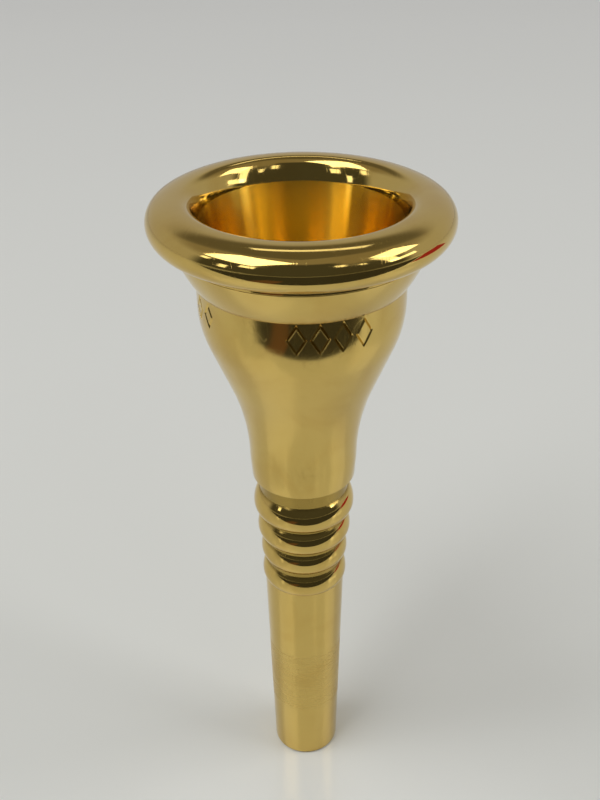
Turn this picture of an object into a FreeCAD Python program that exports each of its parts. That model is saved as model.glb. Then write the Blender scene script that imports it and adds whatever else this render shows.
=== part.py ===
import FreeCAD, Part
import math
import os
import Sketcher

# A two-piece mouthpiece for a horn, turned from brass bar and gold plated.
# It stands on the end of its shank: +Z runs up the axis, the origin is the centre
# of the shank's end face, and every size is in millimetres.

doc = FreeCAD.newDocument("mouthpiece")

# ---------------------------------------------------------------- driving sizes
SIZES = [
    # rim: the bead that the lips rest on, and the spigot that screws into the cup
    ("rim_radius", 12.70, "outside radius of the bead"),
    ("overall_length", 63.30, "height of the crown above the shank's end"),
    ("bead_middle", 61.50, "height of the bead's widest circle"),
    ("crown_circle", 10.10, "radius of the circle along the top of the crown"),
    ("crown_curve", 4.00, "curve of the crown"),
    ("edge_curve", 1.20, "curve of the crown's inner edge"),
    ("bite_curve", 4.20, "curve from the inner edge down to the bite"),
    ("bite_radius", 8.43, "inside radius where the bite runs into the cup's wall"),
    ("bite_height", 61.42, "height of that place"),
    ("under_curve", 1.60, "curve of the bead's underside"),
    ("band_radius", 10.65, "radius of the narrow band over the parting line"),
    ("band_height", 0.30, "height of that band"),
    ("parting_height", 59.28, "height of the parting line between rim and cup"),
    ("thread_radius", 8.50, "outside radius of the rim's threaded spigot"),
    ("spigot_length", 3.30, "length of the spigot below the parting line"),
    ("thread_clearance", 0.05, "radial clearance of spigot and socket"),
    ("end_gap", 0.02, "gap under the end of the spigot"),
    # cup: collar, bell-shaped body and the funnel inside it
    ("collar_curve", 14.00, "convex curve of the flared collar"),
    ("step_height", 56.17, "height of the sharp step under the collar"),
    ("step_radius", 9.08, "radius of the collar at the step"),
    ("body_radius", 8.93, "radius of the body under the step"),
    ("shoulder_height", 54.20, "height where the body starts to draw in"),
    ("shoulder_curve", 10.20, "convex curve of the body"),
    ("waist_radius", 4.97, "radius where the body has drawn in"),
    ("waist_height", 38.30, "height where the body has drawn in"),
    ("waist_curve", 21.00, "concave curve of the body"),
    ("lip_radius", 4.82, "radius of the sharp lip at the foot of the body"),
    ("lip_height", 36.15, "height of that lip"),
    ("throat_radius", 2.25, "radius of the throat"),
    ("throat_top", 34.00, "height of the throat's upper end"),
    ("throat_length", 2.00, "length of the throat"),
    # neck with its four turned rings, and the shank
    ("neck_top_radius", 4.30, "core radius under the lip"),
    ("neck_foot_radius", 3.64, "core radius at the top of the shank"),
    ("ring_upper_curve", 2.80, "curve of a ring above its crest"),
    ("ring_lower_curve", 1.40, "curve of a ring below its crest"),
    ("ring_one_radius", 4.78, "radius of the highest ring"),
    ("ring_one_height", 32.85, "height of the highest ring"),
    ("ring_two_radius", 4.47, "radius of the second ring"),
    ("ring_two_height", 29.95, "height of the second ring"),
    ("ring_three_radius", 4.20, "radius of the third ring"),
    ("ring_three_height", 27.27, "height of the third ring"),
    ("ring_four_radius", 4.13, "radius of the lowest ring"),
    ("ring_four_height", 24.40, "height of the lowest ring"),
    ("shank_top_height", 24.45, "height of the top of the tapered shank"),
    ("shank_top_radius", 3.92, "radius at the top of the shank"),
    ("shank_end_radius", 3.36, "radius at the end of the shank"),
    ("shank_chamfer", 0.22, "chamfer at the end of the shank"),
    ("backbore_end", 2.75, "radius of the backbore at the end of the shank"),
]
RINGS = ("one", "two", "three", "four")

sheet = doc.addObject("Spreadsheet::Sheet", "Sizes")
for row, (alias, size, meaning) in enumerate(SIZES, start=1):
    sheet.set("A%d" % row, alias)
    sheet.set("B%d" % row, str(size))
    sheet.set("C%d" % row, meaning)
    sheet.setAlias("B%d" % row, alias)
doc.recompute()


def cell(alias):
    """The number that the sheet holds under this name."""
    return float(getattr(sheet, alias))


# ---------------------------------------------------------------- sketch helpers
START, END, CENTRE = 1, 2, 3
ORIGIN_POINT = (-1, 1)
HORIZONTAL_AXIS = -1


def new_body(name, label):
    body = doc.addObject("PartDesign::Body", name)
    body.Label = label
    return body


def section_sketch(body, name):
    """A sketch on the body's own XZ plane: across is the radius, up is the height."""
    sketch = body.newObject("Sketcher::SketchObject", name)
    plane = next(f for f in body.Origin.OriginFeatures if f.Role == "XZ_Plane")
    sketch.AttachmentSupport = [(plane, "")]
    sketch.MapMode = "FlatFace"
    return sketch


def add_line(sketch, start, end):
    first = FreeCAD.Vector(start[0], start[1], 0)
    last = FreeCAD.Vector(end[0], end[1], 0)
    return sketch.addGeometry(Part.LineSegment(first, last), False)


def add_arc(sketch, centre, radius, start_angle, end_angle):
    """An arc drawn anticlockwise from one angle to the other."""
    middle = FreeCAD.Vector(centre[0], centre[1], 0)
    circle = Part.Circle(middle, FreeCAD.Vector(0, 0, 1), radius)
    return sketch.addGeometry(Part.ArcOfCircle(circle, start_angle, end_angle), False)


def bind(sketch, kind, where, formula, size):
    """A dimension whose value is a formula of the sheet's cells."""
    index = sketch.addConstraint(Sketcher.Constraint(kind, *where, size))
    sketch.setExpression("Constraints[%d]" % index, formula)


def place(sketch, geometry, point, across=None, up=None):
    """Ties a point's radius and height, each given as (formula, size)."""
    if across:
        bind(sketch, "DistanceX", (*ORIGIN_POINT, geometry, point), *across)
    if up:
        bind(sketch, "DistanceY", (*ORIGIN_POINT, geometry, point), *up)


def named(alias):
    return ("Sizes." + alias, cell(alias))


def set_radius(sketch, geometry, alias):
    bind(sketch, "Radius", (geometry,), *named(alias))


def join(sketch, kind, *ends):
    sketch.addConstraint(Sketcher.Constraint(kind, *ends))


def revolve(body, sketch, name):
    turn = body.newObject("PartDesign::Revolution", name)
    turn.Profile = sketch
    turn.ReferenceAxis = (sketch, ["V_Axis"])
    turn.Angle = 360.0
    doc.recompute()
    return turn


def angle_of(start, end):
    return math.atan2(end[1] - start[1], end[0] - start[0])


def along(start, angle, length):
    return (start[0] + length * math.cos(angle), start[1] + length * math.sin(angle))


# The wall inside rim and cup is one straight cone from the bite down to the throat.
WALL_FORMULA = ("Sizes.throat_radius + (%s - Sizes.throat_top)"
                " * (Sizes.bite_radius - Sizes.throat_radius) / (Sizes.bite_height - Sizes.throat_top)")


def wall_radius(height):
    share = (height - cell("throat_top")) / (cell("bite_height") - cell("throat_top"))
    return cell("throat_radius") + share * (cell("bite_radius") - cell("throat_radius"))


# ---------------------------------------------------------------- rim
def rim_section(body):
    """Spigot, band, underside, bead, crown and bite as one closed outline."""
    sketch = section_sketch(body, "RimSection")
    parting = cell("parting_height")
    spigot_end = parting - cell("spigot_length")
    band_top = parting + cell("band_height")
    band = (cell("band_radius"), band_top)
    bite = (cell("bite_radius"), cell("bite_height"))
    throat = (cell("throat_radius"), cell("throat_top"))
    spigot_foot_inside = (wall_radius(spigot_end), spigot_end)

    # centres of the five arcs; each touches the next one from inside
    under_centre = (cell("rim_radius") - cell("under_curve"), cell("bead_middle"))
    crown_centre = (cell("crown_circle"), cell("overall_length") - cell("crown_curve"))
    wall_normal = angle_of(throat, bite) + math.pi / 2
    bite_centre = along(bite, wall_normal + math.pi, cell("bite_curve"))
    to_crown = cell("crown_curve") - cell("edge_curve")
    to_bite = cell("bite_curve") - cell("edge_curve")
    span = math.dist(crown_centre, bite_centre)
    foot = (to_crown ** 2 - to_bite ** 2 + span ** 2) / (2 * span)
    lift = math.sqrt(to_crown ** 2 - foot ** 2)
    towards_bite = angle_of(crown_centre, bite_centre)
    edge_centre = along(along(crown_centre, towards_bite, foot), towards_bite + math.pi / 2, lift)
    reach = cell("rim_radius") - cell("crown_circle")
    drop = cell("bead_middle") - crown_centre[1]
    beyond = reach - cell("crown_curve")
    shoulder_curve = (reach ** 2 + drop ** 2 - cell("crown_curve") ** 2) / (2 * beyond)
    shoulder_centre = (cell("rim_radius") - shoulder_curve, cell("bead_middle"))

    # the underside is a straight line from the band, touching the lowest arc
    to_centre = angle_of(band, under_centre)
    touch = math.asin(cell("under_curve") / math.dist(band, under_centre))
    underside_angle = to_centre - touch
    tangent_length = math.dist(band, under_centre) * math.cos(touch)
    underside_end = along(band, underside_angle, tangent_length)

    crown_start = angle_of(crown_centre, shoulder_centre)
    crown_end = angle_of(crown_centre, edge_centre)
    bite_start = angle_of(bite_centre, edge_centre)

    spigot_foot = add_line(sketch, spigot_foot_inside, (cell("thread_radius"), spigot_end))
    spigot_side = add_line(sketch, (cell("thread_radius"), spigot_end), (cell("thread_radius"), parting))
    seat = add_line(sketch, (cell("thread_radius"), parting), (band[0], parting))
    band_side = add_line(sketch, (band[0], parting), band)
    underside = add_line(sketch, band, underside_end)
    under = add_arc(sketch, under_centre, cell("under_curve"), underside_angle - math.pi / 2, 0)
    shoulder = add_arc(sketch, shoulder_centre, shoulder_curve, 0, crown_start)
    crown = add_arc(sketch, crown_centre, cell("crown_curve"), crown_start, crown_end)
    edge = add_arc(sketch, edge_centre, cell("edge_curve"), crown_end, bite_start)
    bite_arc = add_arc(sketch, bite_centre, cell("bite_curve"), bite_start, wall_normal)
    wall = add_line(sketch, bite, spigot_foot_inside)

    for first, second in ((spigot_foot, spigot_side), (spigot_side, seat), (seat, band_side),
                          (band_side, underside), (wall, spigot_foot)):
        join(sketch, "Coincident", first, END, second, START)
    for first, second in ((underside, under), (under, shoulder), (shoulder, crown),
                          (crown, edge), (edge, bite_arc), (bite_arc, wall)):
        join(sketch, "Tangent", first, END, second, START)

    spigot_formula = ("Sizes.parting_height - Sizes.spigot_length", spigot_end)
    spigot_bore = (WALL_FORMULA % "(Sizes.parting_height - Sizes.spigot_length)", spigot_foot_inside[0])
    place(sketch, spigot_foot, START, spigot_bore, spigot_formula)
    place(sketch, spigot_side, START, named("thread_radius"), spigot_formula)
    place(sketch, seat, START, named("thread_radius"), named("parting_height"))
    place(sketch, band_side, START, named("band_radius"), named("parting_height"))
    place(sketch, band_side, END, named("band_radius"),
          ("Sizes.parting_height + Sizes.band_height", band_top))
    place(sketch, under, CENTRE, up=named("bead_middle"))
    place(sketch, under, END, named("rim_radius"), named("bead_middle"))
    set_radius(sketch, under, "under_curve")
    place(sketch, crown, CENTRE, named("crown_circle"),
          ("Sizes.overall_length - Sizes.crown_curve", crown_centre[1]))
    set_radius(sketch, crown, "crown_curve")
    set_radius(sketch, edge, "edge_curve")
    place(sketch, bite_arc, END, named("bite_radius"), named("bite_height"))
    set_radius(sketch, bite_arc, "bite_curve")
    return sketch


def make_rim():
    body = new_body("Rim", "rim")
    revolve(body, rim_section(body), "RimTurned")
    return body


# ---------------------------------------------------------------- cup, neck and shank
def underpart_section(body):
    """Shank, neck, body, collar, socket, funnel and backbore as one closed outline."""
    sketch = section_sketch(body, "UnderpartSection")
    parting = cell("parting_height")
    socket = cell("thread_radius") + cell("thread_clearance")
    floor = parting - cell("spigot_length") - cell("end_gap")
    throat_foot = cell("throat_top") - cell("throat_length")
    chamfer = cell("shank_chamfer")
    step = (cell("step_radius"), cell("step_height"))
    shoulder = (cell("body_radius"), cell("shoulder_height"))
    waist = (cell("waist_radius"), cell("waist_height"))

    # the body: a convex and a concave arc with a straight line touching both
    shoulder_centre = (shoulder[0] - cell("shoulder_curve"), shoulder[1])
    waist_centre = (waist[0] + cell("waist_curve"), waist[1])
    both_curves = cell("shoulder_curve") + cell("waist_curve")
    normal = angle_of(shoulder_centre, waist_centre)
    normal += math.acos(both_curves / math.dist(shoulder_centre, waist_centre))
    flank_top = along(shoulder_centre, normal, cell("shoulder_curve"))
    flank_foot = along(waist_centre, normal + math.pi, cell("waist_curve"))

    # the collar: one flat convex arc from the step to the parting line
    collar_top = (cell("band_radius"), parting)
    half_collar = math.dist(step, collar_top) / 2
    collar_slope = angle_of(step, collar_top)
    collar_middle = along(step, collar_slope, half_collar)
    collar_depth = math.sqrt(cell("collar_curve") ** 2 - half_collar ** 2)
    collar_centre = along(collar_middle, collar_slope + math.pi / 2, collar_depth)

    funnel_top = (wall_radius(floor), floor)
    funnel_foot = (cell("throat_radius"), cell("throat_top"))

    outline = [
        (cell("backbore_end"), 0),
        (cell("shank_end_radius") - chamfer, 0),
        (cell("shank_end_radius"), chamfer),
        (cell("shank_top_radius"), cell("shank_top_height")),
        (cell("neck_foot_radius"), cell("shank_top_height")),
        (cell("neck_top_radius"), cell("lip_height")),
        (cell("lip_radius"), cell("lip_height")),
        waist,
    ]
    lines = [add_line(sketch, a, b) for a, b in zip(outline, outline[1:])]
    shank_end, end_chamfer, shank, neck_foot, neck, lip, foot = lines
    waist_arc = add_arc(sketch, waist_centre, cell("waist_curve"), normal + math.pi, math.pi)
    flank = add_line(sketch, flank_foot, flank_top)
    shoulder_arc = add_arc(sketch, shoulder_centre, cell("shoulder_curve"), normal, 0)
    side = add_line(sketch, shoulder, (shoulder[0], step[1]))
    ledge = add_line(sketch, (shoulder[0], step[1]), step)
    collar = add_arc(sketch, collar_centre, cell("collar_curve"),
                     angle_of(collar_centre, step), angle_of(collar_centre, collar_top))
    seat = add_line(sketch, collar_top, (socket, parting))
    socket_side = add_line(sketch, (socket, parting), (socket, floor))
    socket_floor = add_line(sketch, (socket, floor), funnel_top)
    funnel = add_line(sketch, funnel_top, funnel_foot)
    throat = add_line(sketch, funnel_foot, (cell("throat_radius"), throat_foot))
    backbore = add_line(sketch, (cell("throat_radius"), throat_foot), outline[0])

    chain = [shank_end, end_chamfer, shank, neck_foot, neck, lip, foot]
    for first, second in zip(chain, chain[1:]):
        join(sketch, "Coincident", first, END, second, START)
    join(sketch, "Coincident", foot, END, waist_arc, END)
    join(sketch, "Tangent", waist_arc, START, flank, START)
    join(sketch, "Tangent", flank, END, shoulder_arc, START)
    join(sketch, "Coincident", shoulder_arc, END, side, START)
    join(sketch, "Coincident", side, END, ledge, START)
    inside = [ledge, collar, seat, socket_side, socket_floor, funnel, throat, backbore, shank_end]
    for first, second in zip(inside, inside[1:]):
        join(sketch, "Coincident", first, END, second, START)

    join(sketch, "PointOnObject", shank_end, START, HORIZONTAL_AXIS)
    join(sketch, "PointOnObject", shank_end, END, HORIZONTAL_AXIS)
    place(sketch, shank_end, START, across=named("backbore_end"))
    place(sketch, shank_end, END,
          across=("Sizes.shank_end_radius - Sizes.shank_chamfer", cell("shank_end_radius") - chamfer))
    place(sketch, shank, START, named("shank_end_radius"), named("shank_chamfer"))
    place(sketch, shank, END, named("shank_top_radius"), named("shank_top_height"))
    place(sketch, neck, START, named("neck_foot_radius"), named("shank_top_height"))
    place(sketch, neck, END, named("neck_top_radius"), named("lip_height"))
    place(sketch, lip, END, named("lip_radius"), named("lip_height"))
    place(sketch, foot, END, named("waist_radius"), named("waist_height"))
    place(sketch, waist_arc, CENTRE, up=named("waist_height"))
    set_radius(sketch, waist_arc, "waist_curve")
    place(sketch, side, START, named("body_radius"), named("shoulder_height"))
    place(sketch, shoulder_arc, CENTRE, up=named("shoulder_height"))
    set_radius(sketch, shoulder_arc, "shoulder_curve")
    place(sketch, ledge, START, named("body_radius"), named("step_height"))
    place(sketch, ledge, END, named("step_radius"), named("step_height"))
    set_radius(sketch, collar, "collar_curve")
    place(sketch, seat, START, named("band_radius"), named("parting_height"))
    socket_formula = ("Sizes.thread_radius + Sizes.thread_clearance", socket)
    floor_formula = ("Sizes.parting_height - Sizes.spigot_length - Sizes.end_gap", floor)
    place(sketch, seat, END, socket_formula, named("parting_height"))
    place(sketch, socket_side, END, socket_formula, floor_formula)
    wall_formula = (WALL_FORMULA % ("(%s)" % floor_formula[0]), funnel_top[0])
    place(sketch, socket_floor, END, wall_formula, floor_formula)
    place(sketch, funnel, END, named("throat_radius"), named("throat_top"))
    place(sketch, throat, END, named("throat_radius"),
          ("Sizes.throat_top - Sizes.throat_length", throat_foot))
    return sketch


def ring_section(body, which):
    """One turned ring: a wide arc above its crest and a tighter one below it."""
    sketch = section_sketch(body, "Ring" + which.capitalize() + "Section")
    height = cell("ring_%s_height" % which)
    crest = cell("ring_%s_radius" % which)
    root = cell("neck_foot_radius")
    upper, lower = cell("ring_upper_curve"), cell("ring_lower_curve")
    rise = crest - root
    reach_up = math.sqrt(2 * rise * upper - rise ** 2)
    reach_down = math.sqrt(2 * rise * lower - rise ** 2)
    upper_arc = add_arc(sketch, (crest - upper, height), upper, 0, math.asin(reach_up / upper))
    lower_arc = add_arc(sketch, (crest - lower, height), lower, -math.asin(reach_down / lower), 0)
    back = add_line(sketch, (root, height + reach_up), (root, height - reach_down))
    join(sketch, "Coincident", lower_arc, END, upper_arc, START)
    join(sketch, "Coincident", upper_arc, END, back, START)
    join(sketch, "Coincident", back, END, lower_arc, START)
    height_cell = "Sizes.ring_%s_height" % which
    rise_formula = "(Sizes.ring_%s_radius - Sizes.neck_foot_radius)" % which
    reach_formula = "sqrt(2 * %s * Sizes.ring_%s_curve - %s ^ 2)"
    place(sketch, upper_arc, START, named("ring_%s_radius" % which), named("ring_%s_height" % which))
    place(sketch, back, START, named("neck_foot_radius"),
          (height_cell + " + " + reach_formula % (rise_formula, "upper", rise_formula), height + reach_up))
    place(sketch, back, END, named("neck_foot_radius"),
          (height_cell + " - " + reach_formula % (rise_formula, "lower", rise_formula), height - reach_down))
    bind(sketch, "Radius", (upper_arc,), "Sizes.ring_upper_curve", upper)
    bind(sketch, "Radius", (lower_arc,), "Sizes.ring_lower_curve", lower)
    return sketch


def make_underpart():
    body = new_body("CupAndShank", "cup_and_shank")
    revolve(body, underpart_section(body), "UnderpartTurned")
    for which in RINGS:
        before = body.Shape.Volume
        revolve(body, ring_section(body, which), "Ring" + which.capitalize())
        if body.Shape.Volume <= before:
            raise RuntimeError("ring %s added nothing" % which)
    return body


# ---------------------------------------------------------------- build, check, write
pieces = [make_rim(), make_underpart()]
doc.recompute()

for item in doc.Objects:
    if "Invalid" in item.State or "Error" in item.State:
        raise RuntimeError("%s failed: %s" % (item.Name, item.State))
for piece in pieces:
    if piece.Shape.isNull() or not piece.Shape.isValid():
        raise RuntimeError("%s has no valid shape" % piece.Label)

os.makedirs("parts", exist_ok=True)
for piece in pieces:
    piece.Shape.exportStep("parts/%s.step" % piece.Label)
    box = piece.Shape.optimalBoundingBox()
    print("%-14s %8.1f mm3  solids %d  r %.3f  z %.3f to %.3f"
          % (piece.Label, piece.Shape.Volume, len(piece.Shape.Solids), box.XMax, box.ZMin, box.ZMax))
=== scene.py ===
import math

import bmesh
import bpy
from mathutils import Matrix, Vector


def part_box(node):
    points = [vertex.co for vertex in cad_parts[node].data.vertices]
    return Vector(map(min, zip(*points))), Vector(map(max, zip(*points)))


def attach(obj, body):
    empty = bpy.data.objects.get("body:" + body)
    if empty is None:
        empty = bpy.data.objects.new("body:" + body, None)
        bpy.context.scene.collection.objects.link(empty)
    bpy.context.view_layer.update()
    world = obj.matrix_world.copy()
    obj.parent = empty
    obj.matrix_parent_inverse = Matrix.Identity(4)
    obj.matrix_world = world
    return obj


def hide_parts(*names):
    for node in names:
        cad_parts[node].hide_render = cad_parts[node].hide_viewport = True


# A gold-plated horn mouthpiece: a rim that screws off, and a cup, neck and shank
# turned from one bar. Sizes are in millimetres until a point is placed.

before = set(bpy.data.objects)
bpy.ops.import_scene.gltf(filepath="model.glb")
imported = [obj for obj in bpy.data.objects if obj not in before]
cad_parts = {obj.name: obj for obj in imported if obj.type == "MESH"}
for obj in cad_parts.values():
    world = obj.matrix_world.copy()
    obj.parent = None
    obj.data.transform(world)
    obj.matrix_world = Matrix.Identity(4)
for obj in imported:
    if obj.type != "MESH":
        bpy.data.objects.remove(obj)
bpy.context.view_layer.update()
MM = 0.001

# ---------------------------------------------------------------- sizes from the frame
rim_low, rim_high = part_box("rim")
_, cup_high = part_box("cup_and_shank")
RIM_RADIUS = rim_high.x / MM
OVERALL = rim_high.z / MM
SPIGOT_END = rim_low.z / MM
BAND_RADIUS = cup_high.x / MM
PARTING = cup_high.z / MM

# ---------------------------------------------------------------- sizes of the rim
BEAD_MIDDLE = OVERALL - 1.80
CROWN_CIRCLE = 10.10
CROWN_CURVE = 4.00
EDGE_CURVE = 1.20
BITE_CURVE = 4.20
BITE = (8.43, 61.42)
UNDER_CURVE = 1.60
BAND_HEIGHT = 0.30
THREAD_CREST = 8.50
THREAD_ROOT = 8.30
THREAD_PITCH = 0.70
THREAD_TURNS = 2.5
THREAD_START = 0.75         # height of the ridge's start above the spigot's end
THREAD_SUNK = 0.06          # how deep a ridge's foot stands in the metal
THREAD_FOOT_SHARE = 0.42    # half a ridge's foot, as a share of the pitch
THREAD_CREST_SHARE = 0.18   # half its crest, as a share of half its foot
THREAD_STEPS = 96           # faces in one turn of a ridge
SPIGOT_FLARE = (0.25, 0.30) # step in from the crest, and height, of the cone over the thread
SPIGOT_ROUND = 0.20
BAND_ROUND = 0.06
PARTING_ROUND = 0.05

# ---------------------------------------------------------------- sizes of the cup and shank
SOCKET_CREST = 8.55
SOCKET_ROOT = 8.75
SOCKET_RELIEF = 56.60
SOCKET_LEAD = 0.15
SOCKET_THREAD_START = 0.45  # height of the ridge's start above the relief
END_GAP = 0.02              # room between the spigot's end and the socket's floor
SOCKET_FLOOR = SPIGOT_END - END_GAP
COLLAR_CURVE = 14.00
STEP = (9.08, 56.17)
BODY_RADIUS = 8.93
SHOULDER_HEIGHT = 54.20
SHOULDER_CURVE = 10.20
WAIST = (4.97, 38.30)
WAIST_CURVE = 21.00
LIP = (4.82, 36.15)
THROAT = (2.25, 34.00)
THROAT_FOOT = 32.00
NECK_TOP_RADIUS = 4.30
NECK_FOOT_RADIUS = 3.64
RING_UPPER_CURVE = 2.80
RING_LOWER_CURVE = 1.40
RINGS = ((4.13, 24.40), (4.20, 27.27), (4.47, 29.95), (4.78, 32.85))    # crest radius, height
RINGS_FOOT = 23.60          # height at which the lowest ring meets the shank
SHANK_TOP = (3.92, 24.45)
SHANK_END_RADIUS = 3.355
BACKBORE_END = 2.75
SHANK_END_ROUND = 0.30
BACKBORE_ROUND = 0.10
LIP_ROUND = 0.07
STEP_ROUND = 0.04
SOCKET_ROUND = 0.15
THROAT_ROUND = 0.30

# ---------------------------------------------------------------- sizes of the stamped marks
STAMP_LINE = 0.27           # half the width of a pressed line
STAMP_SLOPE = 0.55          # depth of a line against half its width
STAMP_ROWS = (((-3.2, 9.0, 21.1, 33.3), 54.60, 0.72, 1.20),     # azimuths in degrees, height,
              ((-70.0, -58.5), 54.75, 0.60, 0.95))              # half width, half height

# ---------------------------------------------------------------- fineness of the meshes
TURN_STEPS = 192            # faces once round the axis
ARC_STEP = 4.0              # most degrees in one step of a drawn arc
ARC_CHORD = 0.45            # most length in one step of a drawn arc
LONGEST_EDGE = 1.20         # longest straight step of an outline
DIVIDE_ROUNDS = 8
SHARP_ANGLE = 25            # degrees from which an edge stays sharp
END_ROUND_STEPS = 7
FOOT_GUESS = 0.5            # first guess of a ring's foot angle, in radians
FOOT_ROUNDS = 8


# ---------------------------------------------------------------- drawing outlines point by point
def deselect():
    bpy.ops.object.select_all(action="DESELECT")


def only(obj):
    """Makes one object the selected and active one."""
    deselect()
    obj.select_set(True)
    bpy.context.view_layer.objects.active = obj


def point(across, up):
    """A place in metres from a radius and a height in millimetres."""
    return (across * MM, 0.0, up * MM)


def angle_of(start, end):
    return math.atan2(end[1] - start[1], end[0] - start[0])


def along(start, angle, length):
    return (start[0] + length * math.cos(angle), start[1] + length * math.sin(angle))


def wall_radius(height):
    """Inside radius of rim and cup, one straight cone from the bite to the throat."""
    share = (height - THROAT[1]) / (BITE[1] - THROAT[1])
    return THROAT[0] + share * (BITE[0] - THROAT[0])


class Outline:
    """A section drawn point by point in the plane of the radius and the height."""

    def __init__(self, name, start):
        deselect()
        bpy.ops.mesh.primitive_plane_add(size=MM, location=point(*start))
        self.obj = bpy.context.object
        self.obj.name = name
        bpy.ops.object.transform_apply(location=True, rotation=True, scale=True)
        bpy.ops.object.mode_set(mode="EDIT")
        bpy.ops.mesh.select_all(action="SELECT")
        bpy.ops.mesh.merge(type="CENTER")
        self.tip = start

    def line_to(self, end):
        """Extrudes the tip in a straight line to a point."""
        step = Vector(point(*end)) - Vector(point(*self.tip))
        bpy.ops.mesh.extrude_region_move(TRANSFORM_OT_translate={"value": step})
        self.tip = end

    def arc(self, centre, sweep):
        """Turns the tip about a centre; a positive sweep is anticlockwise."""
        radius = math.dist(centre, self.tip)
        steps = max(3, math.ceil(abs(math.degrees(sweep)) / ARC_STEP),
                    math.ceil(abs(sweep) * radius / ARC_CHORD))
        bpy.ops.mesh.spin(steps=steps, angle=abs(sweep), center=point(*centre),
                          axis=(0, 1 if sweep > 0 else -1, 0))
        self.tip = along(centre, angle_of(centre, self.tip) + sweep, radius)

    def arc_to(self, centre, end_angle, anticlockwise=True):
        """Turns the tip about a centre until it stands at an angle from it."""
        sweep = (end_angle - angle_of(centre, self.tip)) % (2 * math.pi)
        self.arc(centre, sweep if anticlockwise else sweep - 2 * math.pi)

    def select_at(self, place):
        """Selects the outline's point at one place."""
        bpy.ops.mesh.select_all(action="DESELECT")
        mesh = bmesh.from_edit_mesh(self.obj.data)
        spot = Vector(point(*place))
        found = [v for v in mesh.verts if (v.co - spot).length < 1e-6]
        for vertex in found:
            vertex.select = True
        mesh.select_flush_mode()
        bmesh.update_edit_mesh(self.obj.data)

    def round_corner(self, place, size, segments=5):
        """Rounds one corner; size is the length taken off each side of it."""
        self.select_at(place)
        bpy.ops.mesh.bevel(affect="VERTICES", offset=size * MM, segments=segments)

    def divide_long_edges(self):
        """Divides straight edges until none is longer than LONGEST_EDGE."""
        for _ in range(DIVIDE_ROUNDS):
            bpy.ops.mesh.select_all(action="DESELECT")
            mesh = bmesh.from_edit_mesh(self.obj.data)
            long_edges = [e for e in mesh.edges if e.calc_length() > LONGEST_EDGE * MM]
            if not long_edges:
                return
            for edge in long_edges:
                edge.select = True
            bmesh.update_edit_mesh(self.obj.data)
            bpy.ops.mesh.subdivide(number_cuts=1)

    def turn(self):
        """Spins the closed outline once round the axis and leaves a closed shell."""
        bpy.ops.mesh.select_all(action="SELECT")
        bpy.ops.mesh.remove_doubles(threshold=1e-7)
        self.divide_long_edges()
        bpy.ops.mesh.select_all(action="SELECT")
        bpy.ops.mesh.spin(steps=TURN_STEPS, angle=2 * math.pi, center=(0, 0, 0), axis=(0, 0, 1))
        bpy.ops.mesh.select_all(action="SELECT")
        bpy.ops.mesh.remove_doubles(threshold=2e-7)
        bpy.ops.mesh.normals_make_consistent(inside=False)
        bpy.ops.object.mode_set(mode="OBJECT")
        return self.obj


def apply_modifier(obj, name, kind, **settings):
    only(obj)
    modifier = obj.modifiers.new(name, kind)
    for key, setting in settings.items():
        setattr(modifier, key, setting)
    bpy.ops.object.modifier_apply(modifier=name)


def finish_metal(obj):
    """Smooth faces, with the flat ones keeping their own direction beside a rounding."""
    only(obj)
    bpy.ops.object.shade_smooth_by_angle(angle=math.radians(SHARP_ANGLE))
    apply_modifier(obj, "even_normals", "WEIGHTED_NORMAL", mode="FACE_AREA", weight=50, keep_sharp=True)


# ---------------------------------------------------------------- threads
def thread_ridge(name, root, crest, start):
    """One helical ridge with a flat crest, its two ends closed."""
    outward = 1 if crest > root else -1
    sunk = root - THREAD_SUNK * outward
    half = THREAD_PITCH * THREAD_FOOT_SHARE
    ridge = Outline(name, (sunk, start - half))
    ridge.line_to((crest, start - half * THREAD_CREST_SHARE))
    ridge.line_to((crest, start + half * THREAD_CREST_SHARE))
    ridge.line_to((sunk, start + half))
    ridge.line_to((sunk, start - half))
    bpy.ops.mesh.select_all(action="SELECT")
    bpy.ops.mesh.remove_doubles(threshold=1e-7)
    bpy.ops.object.mode_set(mode="OBJECT")
    steps = int(THREAD_STEPS * THREAD_TURNS)
    apply_modifier(ridge.obj, "helix", "SCREW", axis="Z", angle=2 * math.pi * THREAD_TURNS,
                   screw_offset=THREAD_PITCH * MM * THREAD_TURNS, steps=steps,
                   render_steps=steps, use_merge_vertices=False)
    bpy.ops.object.mode_set(mode="EDIT")
    bpy.ops.mesh.select_all(action="DESELECT")
    bpy.ops.mesh.select_mode(type="EDGE")
    bpy.ops.mesh.select_non_manifold(extend=False, use_wire=True, use_boundary=True,
                                     use_multi_face=False, use_non_contiguous=False,
                                     use_verts=False)
    bpy.ops.mesh.edge_face_add()
    bpy.ops.mesh.select_mode(type="VERT")
    bpy.ops.mesh.select_all(action="SELECT")
    bpy.ops.mesh.normals_make_consistent(inside=False)
    bpy.ops.object.mode_set(mode="OBJECT")
    return ridge.obj


def join_into(target, *others):
    deselect()
    for other in others:
        other.select_set(True)
    target.select_set(True)
    bpy.context.view_layer.objects.active = target
    bpy.ops.object.join()


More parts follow.
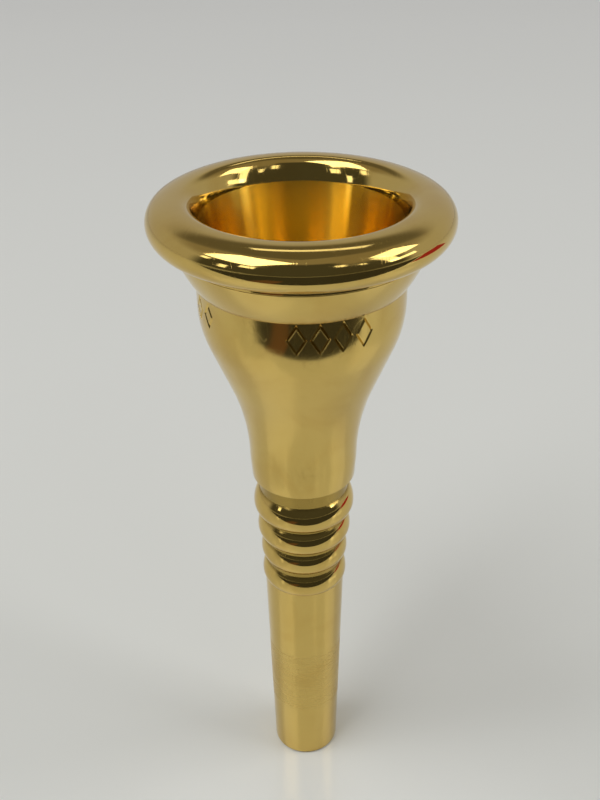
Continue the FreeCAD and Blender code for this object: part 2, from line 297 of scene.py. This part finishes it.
# ---------------------------------------------------------------- rim
def make_rim():
    """The bead and its spigot, turned from one outline, with the spigot's thread."""
    band_top = (BAND_RADIUS, PARTING + BAND_HEIGHT)
    under_centre = (RIM_RADIUS - UNDER_CURVE, BEAD_MIDDLE)
    crown_centre = (CROWN_CIRCLE, OVERALL - CROWN_CURVE)
    wall_normal = angle_of(THROAT, BITE) + math.pi / 2
    bite_centre = along(BITE, wall_normal + math.pi, BITE_CURVE)

    # the edge's arc touches the crown's and the bite's from inside
    to_crown = CROWN_CURVE - EDGE_CURVE
    to_bite = BITE_CURVE - EDGE_CURVE
    span = math.dist(crown_centre, bite_centre)
    foot = (to_crown ** 2 - to_bite ** 2 + span ** 2) / (2 * span)
    lift = math.sqrt(to_crown ** 2 - foot ** 2)
    towards_bite = angle_of(crown_centre, bite_centre)
    edge_centre = along(along(crown_centre, towards_bite, foot), towards_bite + math.pi / 2, lift)

    # the outer shoulder's arc touches the crown's and stands upright at the widest circle
    reach = RIM_RADIUS - CROWN_CIRCLE
    drop = BEAD_MIDDLE - crown_centre[1]
    shoulder = (reach ** 2 + drop ** 2 - CROWN_CURVE ** 2) / (2 * (reach - CROWN_CURVE))
    shoulder_centre = (RIM_RADIUS - shoulder, BEAD_MIDDLE)

    # the underside runs straight from the band and touches the lowest arc
    away = math.dist(band_top, under_centre)
    touch = math.asin(UNDER_CURVE / away)
    underside = angle_of(band_top, under_centre) - touch

    spigot_inside = (wall_radius(SPIGOT_END), SPIGOT_END)
    rim = Outline("rim_turned", spigot_inside)
    rim.line_to((THREAD_ROOT, SPIGOT_END))
    rim.line_to((THREAD_ROOT, PARTING - SPIGOT_FLARE[1]))
    rim.line_to((THREAD_CREST - SPIGOT_FLARE[0], PARTING))
    rim.line_to((BAND_RADIUS, PARTING))
    rim.line_to(band_top)
    rim.line_to(along(band_top, underside, away * math.cos(touch)))
    rim.arc_to(under_centre, 0)
    rim.arc_to(shoulder_centre, angle_of(crown_centre, shoulder_centre))
    rim.arc_to(crown_centre, angle_of(crown_centre, edge_centre))
    rim.arc_to(edge_centre, angle_of(bite_centre, edge_centre))
    rim.arc_to(bite_centre, wall_normal)
    rim.line_to(spigot_inside)
    rim.round_corner((THREAD_ROOT, SPIGOT_END), SPIGOT_ROUND)
    rim.round_corner((BAND_RADIUS, PARTING), PARTING_ROUND)
    rim.round_corner(band_top, BAND_ROUND)
    turned = rim.turn()
    thread = thread_ridge("rim_thread", THREAD_ROOT, THREAD_CREST, SPIGOT_END + THREAD_START)
    join_into(turned, thread)
    finish_metal(turned)
    return turned


# ---------------------------------------------------------------- cup, neck and shank
def core_radius(height):
    """Radius of the neck between its rings."""
    share = (height - SHANK_TOP[1]) / (LIP[1] - SHANK_TOP[1])
    return NECK_FOOT_RADIUS + share * (NECK_TOP_RADIUS - NECK_FOOT_RADIUS)


def shank_radius(height):
    """Radius of the tapered shank."""
    share = height / SHANK_TOP[1]
    return SHANK_END_RADIUS + share * (SHANK_TOP[0] - SHANK_END_RADIUS)


def foot_angle(crest, height, curve, side, surface):
    """Angle from a ring's crest at which its arc comes down to the surface beside it."""
    angle = FOOT_GUESS
    for _ in range(FOOT_ROUNDS):
        foot_height = height + side * curve * math.sin(angle)
        angle = math.acos(1 - (crest - surface(foot_height)) / curve)
    return angle


def draw_ring(outline, crest, height, surface_below):
    """A tight arc up to the ring's crest, and a wide one from there to the neck."""
    low = foot_angle(crest, height, RING_LOWER_CURVE, -1, surface_below)
    high = foot_angle(crest, height, RING_UPPER_CURVE, 1, core_radius)
    lower_centre = (crest - RING_LOWER_CURVE, height)
    outline.line_to(along(lower_centre, -low, RING_LOWER_CURVE))
    outline.arc(lower_centre, low)
    outline.arc((crest - RING_UPPER_CURVE, height), high)


def make_underpart():
    """Socket, cup, neck and shank, turned from one outline, with the socket's thread."""
    shoulder = (BODY_RADIUS, SHOULDER_HEIGHT)

    # a convex and a concave arc, with a straight flank touching both
    shoulder_centre = (shoulder[0] - SHOULDER_CURVE, shoulder[1])
    waist_centre = (WAIST[0] + WAIST_CURVE, WAIST[1])
    normal = angle_of(shoulder_centre, waist_centre)
    normal += math.acos((SHOULDER_CURVE + WAIST_CURVE) / math.dist(shoulder_centre, waist_centre))

    # the collar is one flat convex arc from the step to the parting line
    collar_top = (BAND_RADIUS, PARTING)
    half_collar = math.dist(STEP, collar_top) / 2
    slope = angle_of(STEP, collar_top)
    depth = math.sqrt(COLLAR_CURVE ** 2 - half_collar ** 2)
    collar_centre = along(along(STEP, slope, half_collar), slope + math.pi / 2, depth)

    bar = Outline("cup_and_shank_turned", (BACKBORE_END, 0))
    bar.line_to((SHANK_END_RADIUS, 0))
    surface_below = shank_radius
    for crest, height in RINGS:
        draw_ring(bar, crest, height, surface_below)
        surface_below = core_radius
    bar.line_to((NECK_TOP_RADIUS, LIP[1]))
    bar.line_to(LIP)
    bar.line_to(WAIST)
    bar.arc_to(waist_centre, normal + math.pi, anticlockwise=False)
    bar.line_to(along(shoulder_centre, normal, SHOULDER_CURVE))
    bar.arc_to(shoulder_centre, 0)
    bar.line_to((BODY_RADIUS, STEP[1]))
    bar.line_to(STEP)
    bar.arc_to(collar_centre, angle_of(collar_centre, collar_top))
    bar.line_to((SOCKET_ROOT, PARTING))
    bar.line_to((SOCKET_ROOT, SOCKET_RELIEF))
    bar.line_to((SOCKET_CREST, SOCKET_RELIEF - SOCKET_LEAD))
    bar.line_to((SOCKET_CREST, SOCKET_FLOOR))
    bar.line_to((wall_radius(SOCKET_FLOOR), SOCKET_FLOOR))
    bar.line_to(THROAT)
    bar.line_to((THROAT[0], THROAT_FOOT))
    bar.line_to((BACKBORE_END, 0))

    bar.round_corner((SHANK_END_RADIUS, 0), SHANK_END_ROUND, END_ROUND_STEPS)
    bar.round_corner((BACKBORE_END, 0), BACKBORE_ROUND)
    bar.round_corner(LIP, LIP_ROUND)
    bar.round_corner(STEP, STEP_ROUND)
    bar.round_corner(collar_top, PARTING_ROUND)
    bar.round_corner((SOCKET_ROOT, PARTING), SOCKET_ROUND)
    bar.round_corner(THROAT, THROAT_ROUND)
    turned = bar.turn()
    thread = thread_ridge("socket_thread", SOCKET_ROOT, SOCKET_CREST,
                          SOCKET_RELIEF + SOCKET_THREAD_START)
    join_into(turned, thread)
    return turned


# ---------------------------------------------------------------- stamped marks
def stamp_punch(name, azimuth, height, half_width, half_height):
    """A lozenge frame that stands half in the body's wall."""
    deselect()
    bpy.ops.mesh.primitive_torus_add(major_segments=4, minor_segments=4, major_radius=1.0,
                                     minor_radius=STAMP_LINE / half_height)
    punch = bpy.context.object
    punch.name = name
    punch.scale = (half_width * MM, half_height * MM, half_height * STAMP_SLOPE * MM)
    bpy.ops.object.transform_apply(location=True, rotation=True, scale=True)
    turn = math.radians(azimuth)
    outward = Vector((math.sin(turn), -math.cos(turn), 0))
    punch.rotation_euler = outward.to_track_quat("Z", "Y").to_euler()
    punch.location = outward * BODY_RADIUS * MM + Vector((0, 0, height * MM))
    bpy.ops.object.transform_apply(location=True, rotation=True, scale=True)
    return punch


def stamp_marks(target):
    """Two rows of small plain lozenges pressed into the body under the collar."""
    punches = []
    for row, (azimuths, height, half_width, half_height) in enumerate(STAMP_ROWS):
        for place, azimuth in enumerate(azimuths):
            punches.append(stamp_punch("punch_%d_%d" % (row, place), azimuth, height,
                                       half_width, half_height))
    join_into(punches[0], *punches[1:])
    apply_modifier(target, "stamping", "BOOLEAN", operation="DIFFERENCE", solver="EXACT",
                   object=punches[0])
    bpy.data.objects.remove(punches[0])


rim = make_rim()
underpart = make_underpart()
stamp_marks(underpart)
finish_metal(underpart)

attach(rim, "screw_rim")
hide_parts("rim")
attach(underpart, "underpart")
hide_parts("cup_and_shank")


# ---------------------------------------------------------------- finishes
class Nodes:
    """Adds and links the nodes of one tree."""

    def __init__(self, tree):
        self.tree = tree

    def add(self, kind, inputs=None, **settings):
        node = self.tree.nodes.new(kind)
        for key, setting in settings.items():
            setattr(node, key, setting)
        for socket, source in (inputs or {}).items():
            if isinstance(source, bpy.types.NodeSocket):
                self.tree.links.new(source, node.inputs[socket])
            else:
                node.inputs[socket].default_value = source
        return node

    def math(self, operation, *sources, clamp=False):
        node = self.add("ShaderNodeMath", dict(enumerate(sources)), operation=operation)
        node.use_clamp = clamp
        return node.outputs[0]

    def smooth_step(self, source, low, high):
        node = self.add("ShaderNodeMapRange", {"Value": source, "From Min": low, "From Max": high},
                        interpolation_type="SMOOTHSTEP")
        return node.outputs["Result"]


def new_group(name, inputs, outputs):
    tree = bpy.data.node_groups.new(name, "ShaderNodeTree")
    for label, kind, setting in inputs:
        socket = tree.interface.new_socket(name=label, in_out="INPUT", socket_type="NodeSocket" + kind)
        socket.default_value = setting
    for label, kind in outputs:
        tree.interface.new_socket(name=label, in_out="OUTPUT", socket_type="NodeSocket" + kind)
    nodes = Nodes(tree)
    return nodes, nodes.add("NodeGroupInput").outputs, nodes.add("NodeGroupOutput").inputs


def link(nodes, source, target):
    nodes.tree.links.new(source, target)


# shares of a pattern's noise, or distances from a surface, between which it fades in
TURN_DRIFT = 0.00002            # metres that the lathe marks wander in one radian
SMEAR_EDGE = (0.42, 0.72)
SPECK_EDGE = (0.68, 0.80)
SPECK_FINENESS = 22.0           # dust against smears
SCRATCH_EDGE = (0.010, 0.0)
SCRATCH_STRETCH = (1.0, 0.06, 0.35)
SCRATCH_TILTS = ((0.3, 0.5, 0.9), (1.2, -0.4, -0.7))
GROOVE_EDGE = (0.20 * MM, 0.0)
GROOVES_FOOT = (SHANK_TOP[1] * MM, (SHANK_TOP[1] + 0.5) * MM)
BAND_FADE = 0.0006

# what a pattern adds to roughness, and how high it stands
SMEAR_ROUGHNESS = 0.05
PAINTED_SHADE_ROUGHNESS = 0.18
WORN_ROUGHNESS = 0.30
WORN_RELIEF = 5.0               # worn band against the lathe marks beside it
SCRATCH_RELIEF = -2.0
RELIEF = 0.00001                # metres of relief for a height of 1
ACROSS_THE_MARKS = 0.25         # quarter turn of the stretched shine


def round_coordinates(nodes):
    """Object position as (radius, turn, height), so that a pattern can follow the lathe."""
    place = nodes.add("ShaderNodeTexCoord").outputs["Object"]
    parts = nodes.add("ShaderNodeSeparateXYZ", {0: place}).outputs
    across = nodes.math("SQRT", nodes.math("ADD", nodes.math("POWER", parts["X"], 2.0),
                                           nodes.math("POWER", parts["Y"], 2.0)))
    turn = nodes.math("ARCTAN2", parts["Y"], parts["X"])
    return across, turn, parts["Z"]


def make_turning_marks():
    """Fine rings that a lathe tool and a polishing cloth leave round the axis."""
    nodes, given, put = new_group("turning_marks", [("Fineness", "Float", 9000.0)],
                                  [("Height", "Float")])
    across, turn, up = round_coordinates(nodes)
    drift = nodes.math("MULTIPLY", turn, TURN_DRIFT)
    section = nodes.add("ShaderNodeCombineXYZ", {"X": across, "Y": drift, "Z": up})
    noise = nodes.add("ShaderNodeTexNoise", {"Vector": section.outputs[0], "Scale": given["Fineness"],
                                             "Detail": 3.0, "Roughness": 0.65})
    link(nodes, noise.outputs["Fac"], put["Height"])
    return nodes.tree


def make_handling():
    """Soft smears and fine dust where fingers have been."""
    nodes, given, put = new_group("handling", [("Scale", "Float", 180.0)],
                                  [("Smear", "Float"), ("Specks", "Float")])
    place = nodes.add("ShaderNodeTexCoord").outputs["Object"]
    smear = nodes.add("ShaderNodeTexNoise", {"Vector": place, "Scale": given["Scale"], "Detail": 4.0,
                                             "Roughness": 0.55, "Distortion": 0.8})
    link(nodes, nodes.smooth_step(smear.outputs["Fac"], *SMEAR_EDGE), put["Smear"])
    fine = nodes.math("MULTIPLY", given["Scale"], SPECK_FINENESS)
    specks = nodes.add("ShaderNodeTexNoise", {"Vector": place, "Scale": fine, "Detail": 1.0})
    link(nodes, nodes.smooth_step(specks.outputs["Fac"], *SPECK_EDGE), put["Specks"])
    return nodes.tree


def make_hairlines():
    """Thin crossing scratches from wiping and handling, as a mask."""
    nodes, given, put = new_group("hairlines", [("Scale", "Float", 500.0)], [("Scratch", "Float")])
    place = nodes.add("ShaderNodeTexCoord").outputs["Object"]
    strokes = []
    for tilt in SCRATCH_TILTS:
        turned = nodes.add("ShaderNodeMapping", {"Vector": place, "Rotation": tilt,
                                                 "Scale": SCRATCH_STRETCH})
        scaled = nodes.add("ShaderNodeVectorMath", {0: turned.outputs[0]}, operation="SCALE")
        link(nodes, given["Scale"], scaled.inputs["Scale"])
        noise = nodes.add("ShaderNodeTexNoise", {"Vector": scaled.outputs[0], "Scale": 1.0,
                                                 "Detail": 1.5, "Distortion": 0.25})
        ridge = nodes.math("ABSOLUTE", nodes.math("SUBTRACT", noise.outputs["Fac"], 0.5))
        strokes.append(nodes.smooth_step(ridge, *SCRATCH_EDGE))
    link(nodes, nodes.math("MAXIMUM", *strokes), put["Scratch"])
    return nodes.tree


def make_painted_groove_shade():
    """Painted shade deep between the rings, close to the neck's core: a mask of where the colour is
    darkened to stand in for shade.
    """
    nodes, _, put = new_group("painted_groove_shade", [], [("Painted shade", "Float")])
    across, _, up = round_coordinates(nodes)
    slope = (NECK_TOP_RADIUS - NECK_FOOT_RADIUS) / (LIP[1] - SHANK_TOP[1])
    core_foot = (NECK_FOOT_RADIUS - slope * SHANK_TOP[1]) * MM
    core = nodes.math("MULTIPLY_ADD", up, slope, core_foot)
    above_core = nodes.math("SUBTRACT", across, core)
    close = nodes.smooth_step(above_core, *GROOVE_EDGE)
    above_shank = nodes.smooth_step(up, *GROOVES_FOOT)
    link(nodes, nodes.math("MULTIPLY", close, above_shank), put["Painted shade"])
    return nodes.tree


painted_groove_shade = make_painted_groove_shade()
turning_marks = make_turning_marks()
handling = make_handling()
hairlines = make_hairlines()

GOLD = (0.67, 0.480, 0.143, 1.0)
WARM_GOLD = (0.63, 0.432, 0.120, 1.0)
INSIDE_GOLD = (0.86, 0.57, 0.090, 1.0)
# painted shade: the darker colour laid between the neck's rings, where shade falls
PAINTED_SHADE_COLOUR = (0.42, 0.290, 0.072, 1.0)


def gold_finish(name, colours, roughness, marks_height, grain=0.0, dust=0.12, scratches=0.0,
                worn_band=None, painted_shade_in_grooves=False):
    """Polished gold plate. grain stretches its shine across the turning marks, dust and
    scratches are what they add to roughness, worn_band is the (low, high) of a satin band
    in metres, and the grooves flag adds painted shade, a darker colour, between the neck's rings."""
    material = bpy.data.materials.new(name)
    material.use_nodes = True
    nodes = Nodes(material.node_tree)
    shader = material.node_tree.nodes["Principled BSDF"]
    marks = nodes.add("ShaderNodeGroup", node_tree=turning_marks)
    touch = nodes.add("ShaderNodeGroup", node_tree=handling)
    lines = nodes.add("ShaderNodeGroup", node_tree=hairlines)
    smear = touch.outputs["Smear"]
    scratch = lines.outputs["Scratch"]

    rough = nodes.math("MULTIPLY_ADD", smear, SMEAR_ROUGHNESS, roughness)
    rough = nodes.math("MULTIPLY_ADD", touch.outputs["Specks"], dust, rough)
    rough = nodes.math("MULTIPLY_ADD", scratch, scratches, rough)
    height = nodes.math("MULTIPLY", marks.outputs["Height"], marks_height)
    height = nodes.math("MULTIPLY_ADD", scratch, SCRATCH_RELIEF * scratches, height)
    if worn_band:
        _, _, up = round_coordinates(nodes)
        low, high = worn_band
        band = nodes.math("MULTIPLY", nodes.smooth_step(up, low, low + BAND_FADE),
                          nodes.smooth_step(up, high, high - BAND_FADE))
        worn = nodes.math("MULTIPLY", band, marks.outputs["Height"])
        rough = nodes.math("MULTIPLY_ADD", worn, WORN_ROUGHNESS, rough)
        height = nodes.math("MULTIPLY_ADD", worn, WORN_RELIEF * marks_height, height)
    bump = nodes.add("ShaderNodeBump", {"Height": height, "Strength": 1.0, "Distance": RELIEF})
    tint = nodes.add("ShaderNodeMix", {"Factor": smear, "A": colours[0], "B": colours[1]},
                     data_type="RGBA")
    colour = tint.outputs["Result"]
    # painted shade: darkens the colour and adds roughness between the rings, close to the neck's core
    if painted_shade_in_grooves:
        groove_shade_mask = nodes.add("ShaderNodeGroup", node_tree=painted_groove_shade).outputs["Painted shade"]
        shaded_colour = nodes.add("ShaderNodeMix", {"Factor": groove_shade_mask, "A": colour, "B": PAINTED_SHADE_COLOUR},
                           data_type="RGBA")
        colour = shaded_colour.outputs["Result"]
        rough = nodes.math("MULTIPLY_ADD", groove_shade_mask, PAINTED_SHADE_ROUGHNESS, rough)
    link(nodes, colour, shader.inputs["Base Color"])
    link(nodes, rough, shader.inputs["Roughness"])
    link(nodes, bump.outputs["Normal"], shader.inputs["Normal"])
    shader.inputs["Metallic"].default_value = 1.0
    if grain:
        shader.inputs["Anisotropic"].default_value = grain
        shader.inputs["Anisotropic Rotation"].default_value = ACROSS_THE_MARKS
        lay = nodes.add("ShaderNodeTangent", direction_type="RADIAL", axis="Z")
        link(nodes, lay.outputs["Tangent"], shader.inputs["Tangent"])
    return material


def paint(obj, outside, inside, rings):
    """One finish outside, one on the wall inside rim and cup, and one on the neck's rings."""
    obj.data.materials.clear()
    for finish in (outside, inside, rings):
        obj.data.materials.append(finish)
    for face in obj.data.polygons:
        middle = face.center / MM
        across = math.hypot(middle.x, middle.y)
        if THROAT_FOOT < middle.z < BITE[1] and across < wall_radius(middle.z) + WALL_MARGIN:
            face.material_index = 1
        elif RINGS_FOOT < middle.z < LIP[1] and across > NECK_FOOT_RADIUS:
            face.material_index = 2
        else:
            face.material_index = 0


WALL_MARGIN = 0.04      # how far a face's middle may stand off the inside wall
inside_finish = gold_finish("turned_gold_inside", (INSIDE_GOLD, INSIDE_GOLD), 0.19, 0.12, grain=0.95,
                            dust=0.02)
rim_finish = gold_finish("polished_gold_rim", (GOLD, WARM_GOLD), 0.06, 0.05, scratches=0.05)
# the rings' finish carries the painted shade between the rings
ring_finish = gold_finish("polished_gold_rings", (GOLD, WARM_GOLD), 0.05, 0.03, scratches=0.03,
                          painted_shade_in_grooves=True)
body_finish = gold_finish("polished_gold_body", (GOLD, WARM_GOLD), 0.11, 0.07, grain=0.6,
                          scratches=0.04, worn_band=(0.0066, 0.0154))
paint(rim, rim_finish, inside_finish, ring_finish)
paint(underpart, body_finish, inside_finish, ring_finish)


# ---------------------------------------------------------------- floor, cards and light
def direction(azimuth, elevation):
    """Unit vector; azimuth 0 is the stamped front, 90 the right, in degrees."""
    turn, rise = math.radians(azimuth), math.radians(elevation)
    return Vector((math.sin(turn) * math.cos(rise), -math.cos(turn) * math.cos(rise), math.sin(rise)))


def soft_box(name, azimuth, elevation, size, glow):
    """A rectangular light LIGHT_DISTANCE away; size is in degrees as the cup sees it."""
    width, height = (2 * LIGHT_DISTANCE * math.tan(math.radians(angle / 2)) for angle in size)
    lamp = bpy.data.lights.new(name, "AREA")
    lamp.shape = "RECTANGLE"
    lamp.size, lamp.size_y = width, height
    lamp.energy = glow * math.pi * width * height
    holder = bpy.data.objects.new(name, lamp)
    bpy.context.scene.collection.objects.link(holder)
    towards = direction(azimuth, elevation)
    holder.location = LIGHT_DISTANCE * towards
    holder.rotation_euler = towards.to_track_quat("Z", "Y").to_euler()


def plain_material(name, colour, roughness=0.8):
    """One colour and one roughness, for floor and cards."""
    material = bpy.data.materials.new(name)
    material.use_nodes = True
    shader = material.node_tree.nodes["Principled BSDF"]
    shader.inputs["Base Color"].default_value = (*colour, 1)
    shader.inputs["Roughness"].default_value = roughness
    return material


def studio_card(name, size, place, facing, colour, turn=0.0):
    """A plain card, clear from behind, that only the polished metal reflects."""
    deselect()
    bpy.ops.mesh.primitive_plane_add(size=1.0, location=place)
    card = bpy.context.object
    card.name = name
    card.scale = (size[0], size[1], 1.0)
    card.rotation_euler = Vector(facing).to_track_quat("Z", "Y").to_euler()
    card.rotation_euler.rotate_axis("Z", math.radians(turn))
    material = plain_material(name, (0, 0, 0))
    shader = material.node_tree.nodes["Principled BSDF"]
    shader.inputs["Specular IOR Level"].default_value = 0.0
    shader.inputs["Emission Color"].default_value = (*colour, 1)
    shader.inputs["Emission Strength"].default_value = 1.0
    nodes = Nodes(material.node_tree)
    underneath = nodes.add("ShaderNodeNewGeometry").outputs["Backfacing"]
    link(nodes, nodes.math("SUBTRACT", 1.0, underneath), shader.inputs["Alpha"])
    card.data.materials.append(material)
    card.visible_camera = False
    card.visible_diffuse = False
    card.visible_shadow = False
    card.visible_transmission = False


def make_floor():
    """The pale table that the part stands on."""
    deselect()
    bpy.ops.mesh.primitive_plane_add(size=FLOOR_SIZE, location=(0, 0, 0))
    floor = bpy.context.object
    floor.name = "floor"
    floor.data.materials.append(plain_material("pale_table", FLOOR_COLOUR, FLOOR_ROUGHNESS))


def make_world():
    """A plain room: a warm ceiling, pale walls, a shaded back and a dark side in front."""
    world = bpy.data.worlds.new("studio")
    bpy.context.scene.world = world
    world.use_nodes = True
    nodes = Nodes(world.node_tree)
    sky = nodes.add("ShaderNodeTexCoord").outputs["Generated"]
    parts = nodes.add("ShaderNodeSeparateXYZ", {0: sky}).outputs
    level = nodes.math("SQRT", nodes.math("SUBTRACT", 1.0, nodes.math("POWER", parts["Z"], 2.0)))
    front = nodes.math("DIVIDE", nodes.math("MULTIPLY", parts["Y"], -1.0), level)
    ceiling = nodes.smooth_step(parts["Z"], *CEILING_EDGE)
    low_front = nodes.math("MULTIPLY", nodes.smooth_step(front, *LOW_FRONT_SIDES),
                           nodes.smooth_step(parts["Z"], *LOW_FRONT_TOP))
    high_front = nodes.math("MULTIPLY", nodes.smooth_step(front, *HIGH_FRONT_SIDES),
                            nodes.smooth_step(parts["Z"], *HIGH_FRONT_TOP))
    dark = nodes.math("MAXIMUM", low_front, high_front)
    behind = nodes.math("MULTIPLY", nodes.smooth_step(front, *BACK_SIDES),
                        nodes.smooth_step(parts["Z"], *BACK_FOOT))
    colour = WALL
    for share, shade in ((ceiling, CEILING), (behind, BACK_WALL), (dark, DARK_SIDE)):
        mix = nodes.add("ShaderNodeMix", {"Factor": share, "A": colour, "B": shade}, data_type="RGBA")
        colour = mix.outputs["Result"]
    link(nodes, colour, world.node_tree.nodes["Background"].inputs["Color"])


LIGHT_DISTANCE = 1.2
FLOOR_SIZE = 8.0
FLOOR_COLOUR = (0.86, 0.88, 0.855)
FLOOR_ROUGHNESS = 0.16
WALL = (0.49, 0.485, 0.49, 1)
CEILING = (0.30, 0.275, 0.24, 1)
DARK_SIDE = (0.075, 0.075, 0.065, 1)
BACK_WALL = (0.15, 0.14, 0.12, 1)
CARD_DARK = (0.05, 0.05, 0.045)
CARD_SKIN = (0.14, 0.08, 0.05)
CARD_RED = (0.38, 0.035, 0.04)

# where the room's parts begin and end: front is 1 straight ahead and -1 behind, and
# a height is the sine of the elevation
CEILING_EDGE = (0.45, 0.75)
LOW_FRONT_SIDES = (0.05, 0.30)
LOW_FRONT_TOP = (0.80, 0.55)
HIGH_FRONT_SIDES = (0.74, 0.90)
HIGH_FRONT_TOP = (0.92, 0.84)
BACK_SIDES = (-0.55, -0.85)
BACK_FOOT = (0.54, 0.68)

# name, azimuth, elevation, width and height in degrees, glow
SOFT_BOXES = (
    ("window_light", -62, 60, (36, 34), 3.1),
    ("right_light", 88, 46, (24, 22), 2.5),
    ("right_strip", 68, 32, (9, 34), 2.0),
    ("right_foot", 76, 19, (22, 8), 2.0),
    ("far_lamp_left", -77, 33, (6, 8), 2.0),
    ("near_lamp_left", -41, 33, (10, 9), 2.0),
    ("low_lamp_left", -57, 18, (6, 13), 2.0),
    ("near_lamp_right", 31, 43, (6, 8), 2.0),
    ("far_lamp_right", 47, 36, (4, 7), 2.0),
    ("back_light", 176, 56, (22, 5), 1.4),
)

make_floor()
make_world()
for box in SOFT_BOXES:
    soft_box(*box)
studio_card("dark_table_end", (0.9, 0.7), (0.08, -0.405, 0.0005), (0, 0, 1), CARD_DARK, turn=7)
studio_card("warm_card", (0.03, 0.06), (-0.042, -0.095, 0.001), (0, 0, 1), CARD_SKIN)
studio_card("red_card", (0.34, 0.13), (0.335, 0.06, 0.001), (0, 0, 1), CARD_RED, turn=10)

# ---------------------------------------------------------------- camera
CAMERA_ELEVATION = math.radians(31.7)
CAMERA_DISTANCE = 0.0921
CAMERA_AIM = Vector((-0.00026, 0.0, 0.04377))
CAMERA_ROLL = math.radians(-0.65)
CAMERA_NEAR = 0.005
LENS = 45.7
SENSOR_WIDTH = 36.0

camera_data = bpy.data.cameras.new("camera")
camera_data.sensor_width = SENSOR_WIDTH
camera_data.lens = LENS
camera_data.clip_start = CAMERA_NEAR
camera = bpy.data.objects.new("camera", camera_data)
bpy.context.scene.collection.objects.link(camera)
back = Vector((0, -math.cos(CAMERA_ELEVATION), math.sin(CAMERA_ELEVATION)))
camera.location = CAMERA_AIM + CAMERA_DISTANCE * back
camera.rotation_euler = back.to_track_quat("Z", "Y").to_euler()
camera.rotation_euler.rotate_axis("Z", CAMERA_ROLL)
bpy.context.scene.camera = camera

bpy.context.scene.view_settings.view_transform = "Standard"
